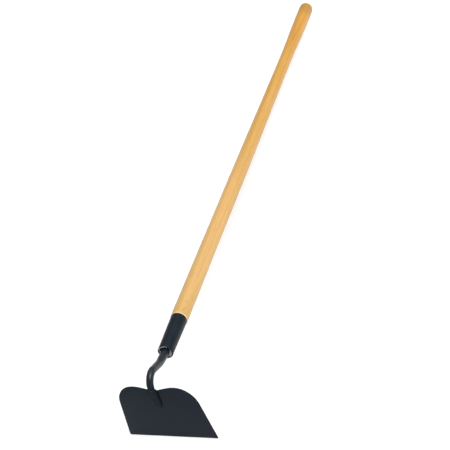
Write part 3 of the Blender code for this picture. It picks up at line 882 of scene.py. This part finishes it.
def ferrule_finish():
    """Satin paint, worn to bare steel on the inner side of the rim, near white on one side of it,
    with painted shade under the stick's shoulder.
    """
    scene = bpy.context.scene
    tints, ferrule = scene.hoe_colours, scene.hoe_ferrule
    paint = baked_paint(
        "ferrule_paint", tints.paint, roughness=0.42, specular=0.13, grain=130.0, relief=0.10
    )
    parts = paint.split(paint.in_tool())
    flat = paint.across(parts["X"], parts["Z"])
    girth = paint.vector("LENGTH", flat, result="Value")
    chips = paint.noise(paint.where, CHIPS, 3.0, 0.6)

    # On one side the rim is paler, near white, right round to its front
    toward_pale_side = paint.calc(
        "ADD", paint.vector("DOT_PRODUCT", flat, PALE_SIDE_FROM, "Value"),
        paint.band(chips, 0.3, 0.7, -0.0016, 0.0016),
    )
    side = paint.band(toward_pale_side, 0.0076, 0.0108)
    inner = ferrule.mouth_diameter / 2 - ferrule.rim * 0.72
    front = ferrule.mouth_diameter / 2 - ferrule.rim * 0.25
    worn_to = paint.band(side, 0.0, 1.0, inner, front)
    inside = paint.band(paint.calc("SUBTRACT", girth, worn_to), 0.0003, -0.0003)
    scuffed_and_pale = paint.calc("MAXIMUM", paint.band(chips, 0.34, 0.50), side)
    bare = paint.calc("MULTIPLY", inside, scuffed_and_pale)
    paint.tint(bare, paint.blend(side, tints.steel, tints.rim_pale))
    metal = paint.band(side, 0.0, 1.0, 0.8, 0.0)
    paint.give("Metallic", paint.calc("MULTIPLY", bare, metal))

    # Painted shade: the paint is darkened just under the stick's shoulder, where shade falls into
    # the gap
    top = ferrule.reach
    seam_shade = paint.band(parts["Y"], top - 0.0022, top - 0.0008, 0.0, 0.85)
    paint.tint(seam_shade, tints.paint_deep_and_shade)
    return paint.done()


def neck_finish():
    """Matt paint over forging scale, under a clear coat that thins out below the crown."""
    scene = bpy.context.scene
    paint = baked_paint(
        "neck_paint", scene.hoe_colours.paint, roughness=0.50, specular=0.025, grain=190.0,
        relief=0.30,
    )
    parts = paint.split(paint.in_tool())
    crown = -scene.hoe_neck.crown_reach
    below_crown = paint.calc(
        "MULTIPLY", paint.band(parts["Z"], 0.024, 0.000),
        paint.band(parts["Y"], crown + 0.020, crown + 0.012),
    )
    worn = paint.band(paint.noise(paint.where, COAT_WEAR, 3.0), 0.3, 0.7, 0.80, 1.0)
    left = paint.calc("SUBTRACT", 1.0, below_crown)
    paint.give("Coat Weight", paint.calc("MULTIPLY", worn, left))
    paint.give("Coat Roughness", 0.34)
    paint.give("Coat IOR", 1.42)
    paint.give("Coat Normal", paint.normal)
    return paint.done()


def blade_finish():
    """Matt paint over rolled plate, with grinding marks under it along the edge and painted shade
    over the ground bevel.
    """
    scene = bpy.context.scene
    tints, blade = scene.hoe_colours, scene.hoe_blade
    paint = baked_paint(
        "blade_paint", tints.paint_plate, roughness=0.50, specular=0.055, grain=75.0, relief=0.10
    )
    notch, down, _ = blade_directions()
    edge = tool_matrix() @ (notch + down * (blade.height - blade.notch))
    plate = paint.framed(edge, math.pi / 2 - scene.hoe_place.tilt - blade.angle)
    height = paint.split(plate)["Z"]
    ground = paint.band(height, blade.grind + 0.0004, blade.grind - 0.0004)
    # Painted shade: the paint over the ground bevel is darkened
    paint.tint(paint.calc("MULTIPLY", ground, 0.45), tints.paint_bevel_shade)
    paint.emboss(paint.drawn(plate, ROLLING), 0.05, FINE_RELIEF)
    marks = paint.calc("MULTIPLY", paint.drawn(plate, GRINDING), ground)
    paint.emboss(marks, 0.30, FINE_RELIEF)
    return paint.done()


def weld_finish():
    """Paint over weld metal and its fine dark scale, which also paints the shade in the corners
    beside the foot.
    """
    tints = bpy.context.scene.hoe_colours
    paint = baked_paint(
        "weld_paint", tints.paint, roughness=0.50, specular=0.05, grain=420.0, relief=0.30
    )
    # Dark weld scale, laid on thick enough to paint the shade in the corners beside the foot as
    # well
    scale = paint.noise(paint.where, WELD_SCALE_AND_SHADE, 3.0, 0.6)
    paint.tint(paint.band(scale, 0.25, 0.60, 0.4, 1.0), tints.paint_deep_and_shade)
    return paint.done()


def pin_finish():
    """Plain drawn steel, dulled by handling."""
    tints = bpy.context.scene.hoe_colours
    steel = Finish("pin_steel", tints.steel, specular=0.5)
    steel.give("Metallic", 0.9)
    cloud = steel.noise(steel.where, 700.0, 3.0, 0.6)
    steel.tint(steel.band(cloud, 0.3, 0.7), tints.steel_dull)
    steel.give("Roughness", steel.band(cloud, 0.3, 0.7, 0.28, 0.52))
    steel.emboss(steel.noise(steel.where, 2200.0), 0.25, FINE_RELIEF)
    return steel.done()


def floor_finish():
    """Pale matt floor with the faintest mottle, lit from below."""
    scene = bpy.context.scene
    pale = scene.hoe_colours.floor
    floor = Finish("pale_floor", pale, specular=0.1)
    floor.give("Roughness", 0.9)
    floor.give("Emission Color", rgba(WHITE))
    floor.give("Emission Strength", scene.hoe_stage.floor_glow)
    mottle = floor.noise(floor.where, 3.0, 3.0)
    floor.tint(mottle, [FLOOR_MOTTLE * value for value in pale])
    return floor.done()


def wall_finish():
    """Pale wall that glows evenly, far behind the floor."""
    material = bpy.data.materials.new("pale_wall")
    material.use_nodes = True
    wall = Nodes(material.node_tree)
    glow = wall.add("ShaderNodeEmission", {"Color": rgba(WHITE)})
    wall.feed(wall.tree.nodes["Material Output"].inputs["Surface"], glow.outputs["Emission"])
    return material


# Operators

class HOE_OT_stick(Operator):
    """Turn the ash stick with its tenon, shoulder, waist, flare and domed butt"""

    bl_idname = "hoe.stick"
    bl_label = "Stick"

    def radius(self, stick, height):
        """Radius of the bare stick."""
        if height <= stick.straight_to:
            return stick.diameter / 2
        if height <= stick.waist_at:
            share = (height - stick.straight_to) / (stick.waist_at - stick.straight_to)
            return ease(stick.diameter, stick.waist_diameter, share) / 2
        share = (height - stick.waist_at) / (stick.flare_end - stick.waist_at)
        return ease(stick.waist_diameter, stick.butt_diameter, share) / 2

    def profile(self):
        """Outer side from the butt down to the tenon, then up the tang's bore."""
        scene = bpy.context.scene
        stick, ferrule, neck = scene.hoe_stick, scene.hoe_ferrule, scene.hoe_neck
        butt = stick.butt_diameter / 2
        edge = stick.butt_end - stick.dome
        points = [
            (butt * math.sin(turn), edge + stick.dome * math.cos(turn))
            for turn in quarter(DOME_STEPS)
        ]
        start = stick.shoulder + stick.chamfer
        for step in range(SIDE_STEPS):
            height = stick.flare_end + (start - stick.flare_end) * step / SIDE_STEPS
            points.append((self.radius(stick, height), height))
        for turn in quarter(EASE_STEPS):
            drop = stick.chamfer * (1 - math.cos(turn))
            points.append((stick.diameter / 2 - drop, start - stick.chamfer * math.sin(turn)))
        upper = ferrule.top_diameter / 2 - ferrule.wall - FIT
        lower = ferrule.mouth_diameter / 2 - ferrule.wall - FIT
        points += [
            (upper, stick.shoulder),
            (lower, stick.tenon_end + TENON_EASE),
            (lower - TENON_EASE, stick.tenon_end),
            (tang_radius(stick.tenon_end) + FIT, stick.tenon_end),
            (tang_radius(neck.tang) + FIT, neck.tang),
            (0.0, neck.tang + BORE_POINT),
        ]
        return points

    def execute(self, context):
        mesh = turned_mesh("stick", self.profile(), STICK_STEPS)
        place_piece("stick", mesh, lacquered_ash(), ["handle"])
        return {"FINISHED"}


class HOE_OT_ferrule(Operator):
    """Draw the ferrule: tapered tube, eased upper end and curled rim"""

    bl_idname = "hoe.ferrule"
    bl_label = "Ferrule"

    def profile(self):
        """Ring of the wall, down the outside and up the inside."""
        ferrule = bpy.context.scene.hoe_ferrule
        rim = ferrule.rim / 2
        top = ferrule.top_diameter / 2
        mouth = ferrule.mouth_diameter / 2
        centre = mouth + ferrule.rim_proud - rim
        side = ferrule.reach - LIP_EASE
        low = 2 * rim + GROOVE_TOP
        inner = ferrule.rim + CURL_END
        points = []
        for turn in quarter(EASE_STEPS):
            points.append((
                top - LIP_EASE * (1 - math.sin(turn)),
                ferrule.reach - LIP_EASE * (1 - math.cos(turn)),
            ))
        for step in range(1, TUBE_STEPS + 1):
            height = side - (side - low) * step / TUBE_STEPS
            points.append((mouth + (top - mouth) * height / ferrule.reach, height))
        for depth, above in GROOVE:
            points.append((mouth - depth, 2 * rim + above))
        for step in range(CURL_STEPS + 1):
            turn = CURL_START - CURL_SWEEP * step / CURL_STEPS
            points.append((centre + rim * math.cos(turn), rim + rim * math.sin(turn)))
        points += [
            (centre - rim, inner),
            (mouth - ferrule.wall, inner + CURL_FADE),
            (top - ferrule.wall, ferrule.reach),
        ]
        return points

    def execute(self, context):
        mesh = turned_mesh("ferrule_shell", self.profile(), FERRULE_STEPS, closed=True)
        place_piece("ferrule_shell", mesh, ferrule_finish(), ["ferrule"])
        return {"FINISHED"}


class HOE_OT_pin(Operator):
    """Drive the pin with its low domed head into the ferrule's underside"""

    bl_idname = "hoe.pin"
    bl_label = "Drive pin"

    def execute(self, context):
        ferrule = context.scene.hoe_ferrule
        top, mouth = ferrule.top_diameter / 2, ferrule.mouth_diameter / 2
        low = mouth + (top - mouth) * ferrule.pin_at / ferrule.reach
        head, shank = ferrule.pin_head / 2, ferrule.pin_diameter / 2
        tang = tang_radius(ferrule.pin_at)
        profile = [
            (head * math.sin(turn), low + HEAD_RIM + HEAD_DOME * math.cos(turn))
            for turn in quarter(HEAD_STEPS)
        ]
        profile += [
            (head, low - HEAD_SUNK),
            (shank, low - HEAD_SUNK),
            (shank, -tang - PIN_PAST),
            (0.0, -tang - PIN_TIP),
        ]
        mesh = turned_mesh("drive_pin", profile, PIN_STEPS)
        mesh.transform(
            Matrix.Translation((0.0, ferrule.pin_at, 0.0)) @ Matrix.Rotation(-math.pi / 2, 4, "X")
        )
        place_piece("drive_pin", mesh, pin_finish(), ["ferrule_pin"])
        return {"FINISHED"}


class HOE_OT_neck(Operator):
    """Forge the neck: tang, rise, crown, ankle and tapered foot in one rod"""

    bl_idname = "hoe.neck"
    bl_label = "Swan neck"

    def hammer_foot(self, mesh):
        """Flatten the rod's end towards the plate, the more the further down it is."""
        neck = bpy.context.scene.hoe_neck
        notch, down, out = blade_directions()
        for vertex in mesh.vertices:
            place = vertex.co - notch
            along = place.dot(down)
            height = place.dot(out)
            if along > -neck.flat_above - neck.run_out and height > -neck.diameter:
                vertex.co -= out * height * (1 - foot_flatness(along))

    def execute(self, context):
        material = neck_finish()
        mesh = baked_along(
            "neck_rod", neck_route(), bar_tree(), Sides=ROD_SIDES, Material=material
        )
        self.hammer_foot(mesh)
        place_piece("neck_rod", mesh, material, ["neck"])
        return {"FINISHED"}


class HOE_OT_blade(Operator):
    """Cut the blade from plate, round its rim and grind its edge"""

    bl_idname = "hoe.blade"
    bl_label = "Blade"

    def outline(self, blade):
        """Right half, from the edge to the notch: points and the handles of curved stretches."""
        corner = Vector((blade.width / 2, 0.0))
        shoulder = Vector((blade.shoulder_width / 2, blade.shoulder_height))
        side = (shoulder - corner).normalized()
        low = corner - Vector((blade.corner, 0.0))
        raised = corner + side * blade.corner
        lobe = Vector((blade.lobes / 2, blade.height))
        notch = Vector((0.0, blade.height - blade.notch))
        across = Vector((1.0, 0.0))
        return [
            (low, None, low.lerp(corner, 0.5)),
            (raised, raised.lerp(corner, 0.5), None),
            (shoulder, None, shoulder + side * blade.shoulder_reach),
            (lobe, lobe + across * blade.lobe_outer, lobe - across * blade.lobe_inner),
            (notch, notch + across * blade.notch_reach, notch - across * blade.notch_reach),
        ]

    def plate(self, blade):
        """Plate with a rounded rim, as a mesh in the plate's own frame."""
        half = self.outline(blade)
        mirror = Vector((-1.0, 1.0))
        knots = list(half)
        for point, before, after in reversed(half[:-1]):
            knots.append((point * mirror, after and after * mirror, before and before * mirror))
        curve = bpy.data.curves.new("blade_plate", "CURVE")
        curve.dimensions = "2D"
        curve.fill_mode = "BOTH"
        curve.extrude = blade.thickness / 2 - blade.rim
        curve.bevel_depth = blade.rim
        curve.bevel_resolution = RIM_STEPS
        curve.offset = -blade.rim
        curve.resolution_u = PLATE_STEPS
        line = curve.splines.new("BEZIER")
        line.bezier_points.add(len(knots) - 1)
        line.use_cyclic_u = True
        for knot, (point, before, after) in zip(line.bezier_points, knots):
            knot.handle_left_type = "FREE" if before else "VECTOR"
            knot.handle_right_type = "FREE" if after else "VECTOR"
            knot.co = (*point, 0.0)
            if before:
                knot.handle_left = (*before, 0.0)
            if after:
                knot.handle_right = (*after, 0.0)
        return plain_mesh(add_object("blade_plate", curve))

    def grind(self, mesh, blade):
        """Slope the outer face down to the thin edge."""
        body = bmesh.new()
        body.from_mesh(mesh)
        bmesh.ops.remove_doubles(body, verts=body.verts, dist=MERGE)
        bmesh.ops.bisect_plane(
            body, geom=body.verts[:] + body.edges[:] + body.faces[:],
            plane_co=(0.0, blade.grind, 0.0), plane_no=(0.0, 1.0, 0.0),
        )
        drop = blade.thickness - blade.edge
        for vertex in body.verts:
            if vertex.co.y < blade.grind:
                share = (vertex.co.z + blade.thickness / 2) / blade.thickness
                vertex.co.z -= share * drop * (1 - vertex.co.y / blade.grind)
        body.to_mesh(mesh)
        body.free()

    def execute(self, context):
        blade = context.scene.hoe_blade
        mesh = self.plate(blade)
        self.grind(mesh, blade)
        notch, down, out = blade_directions()
        up = -down
        origin = notch - out * (blade.thickness / 2) - up * (blade.height - blade.notch)
        mesh.transform(matrix_at(origin, up.cross(out), up, out))
        place_piece("blade_plate", mesh, blade_finish(), ["blade"])
        return {"FINISHED"}


class HOE_OT_welds(Operator):
    """Lay the two side welds along the foot and the short one across the notch"""

    bl_idname = "hoe.welds"
    bl_label = "Welds"

    def execute(self, context):
        weld = context.scene.hoe_weld
        material = weld_finish()
        bead = ripple_tree()
        routes = {
            "weld_left": side_weld_route(-1),
            "weld_right": side_weld_route(1),
            "weld_notch": notch_weld_route(),
        }
        for index, (node, route) in enumerate(routes.items()):
            name = node.replace("weld", "bead")
            mesh = baked_along(
                name, route, bead,
                Spacing=weld.ripple, Seed=weld.seed + index, Material=material,
            )
            place_piece(name, mesh, material, [node])
        return {"FINISHED"}


class HOE_OT_stage(Operator):
    """Set up the pale floor, the soft lights and the camera"""

    bl_idname = "hoe.stage"
    bl_label = "Studio"

    def add_sun(self, name, towards, strength, spread):
        """One soft distant light that shines from a direction."""
        lamp = bpy.data.lights.new(name, "SUN")
        lamp.energy = strength
        lamp.angle = spread
        light = add_object(name, lamp)
        light.rotation_euler = Vector(towards).to_track_quat("Z", "Y").to_euler()

    def lay_floor(self, stage):
        """Wide pale floor, and a pale wall far behind it that lights nothing."""
        wide, high = stage.floor_radius, stage.wall_height
        dropped = Matrix.Translation((0.0, 0.0, -FLOOR_DROP))
        upright = dropped @ Matrix.Rotation(math.pi / 2, 4, "X")
        for name, profile, material in (
            ("floor", [(0.0, 0.0), (wide, 0.0)], floor_finish()),
            ("wall", [(wide, 0.0), (wide, high), (0.0, high)], wall_finish()),
        ):
            mesh = turned_mesh(name, profile, FLOOR_STEPS)
            mesh.transform(upright)
            mesh.materials.append(material)
            item = add_object(name, mesh)
            if name == "wall":
                item.visible_diffuse = item.visible_glossy = item.visible_shadow = False
                item.visible_transmission = False

    def set_camera(self, scene, stage):
        """Camera at the photograph's viewing angle."""
        lens = bpy.data.cameras.new("camera")
        lens.lens = stage.lens
        lens.sensor_width = 36.0
        lens.clip_end = 100.0
        camera = add_object("camera", lens)
        right = Vector(stage.camera_right).normalized()
        up = Vector(stage.camera_up)
        up = (up - right * up.dot(right)).normalized()
        camera.matrix_world = matrix_at(stage.camera_at, right, up, right.cross(up))
        scene.camera = camera

    def execute(self, context):
        scene = context.scene
        stage = scene.hoe_stage
        self.lay_floor(stage)
        world = bpy.data.worlds.new("studio")
        world.use_nodes = True
        sky = world.node_tree.nodes["Background"]
        sky.inputs["Color"].default_value = rgba(WHITE)
        sky.inputs["Strength"].default_value = stage.sky
        scene.world = world
        scene.view_settings.view_transform = "Standard"
        self.add_sun("key", stage.key_from, stage.key, stage.key_spread)
        self.add_sun("top", stage.top_from, stage.top, stage.top_spread)
        self.set_camera(scene, stage)
        return {"FINISHED"}


class HOE_PT_panel(Panel):
    """Sizes, colours and building steps of the hoe"""

    bl_label = "Garden Hoe"
    bl_idname = "HOE_PT_panel"
    bl_space_type = "VIEW_3D"
    bl_region_type = "UI"
    bl_category = "Garden Hoe"

    def draw(self, context):
        layout = self.layout
        for operator in OPERATORS:
            layout.operator(operator.bl_idname)
        for name, group in GROUPS.items():
            box = layout.box()
            box.label(text=group.__doc__)
            for key in group.__annotations__:
                box.prop(getattr(context.scene, name), key)


OPERATORS = [
    HOE_OT_stick, HOE_OT_ferrule, HOE_OT_pin, HOE_OT_neck, HOE_OT_blade, HOE_OT_welds,
    HOE_OT_stage,
]


def register():
    """Register the settings, the operators and the panel."""
    for name, group in GROUPS.items():
        bpy.utils.register_class(group)
        setattr(bpy.types.Scene, name, PointerProperty(type=group))
    for item in (*OPERATORS, HOE_PT_panel):
        bpy.utils.register_class(item)


def unregister():
    """Remove what register added."""
    for item in (HOE_PT_panel, *reversed(OPERATORS)):
        bpy.utils.unregister_class(item)
    for name, group in reversed(GROUPS.items()):
        delattr(bpy.types.Scene, name)
        bpy.utils.unregister_class(group)


def main():
    register()
    bpy.ops.hoe.stick()
    bpy.ops.hoe.ferrule()
    bpy.ops.hoe.pin()
    bpy.ops.hoe.neck()
    bpy.ops.hoe.blade()
    bpy.ops.hoe.welds()
    bpy.ops.hoe.stage()


if __name__ == "__main__":
    main()
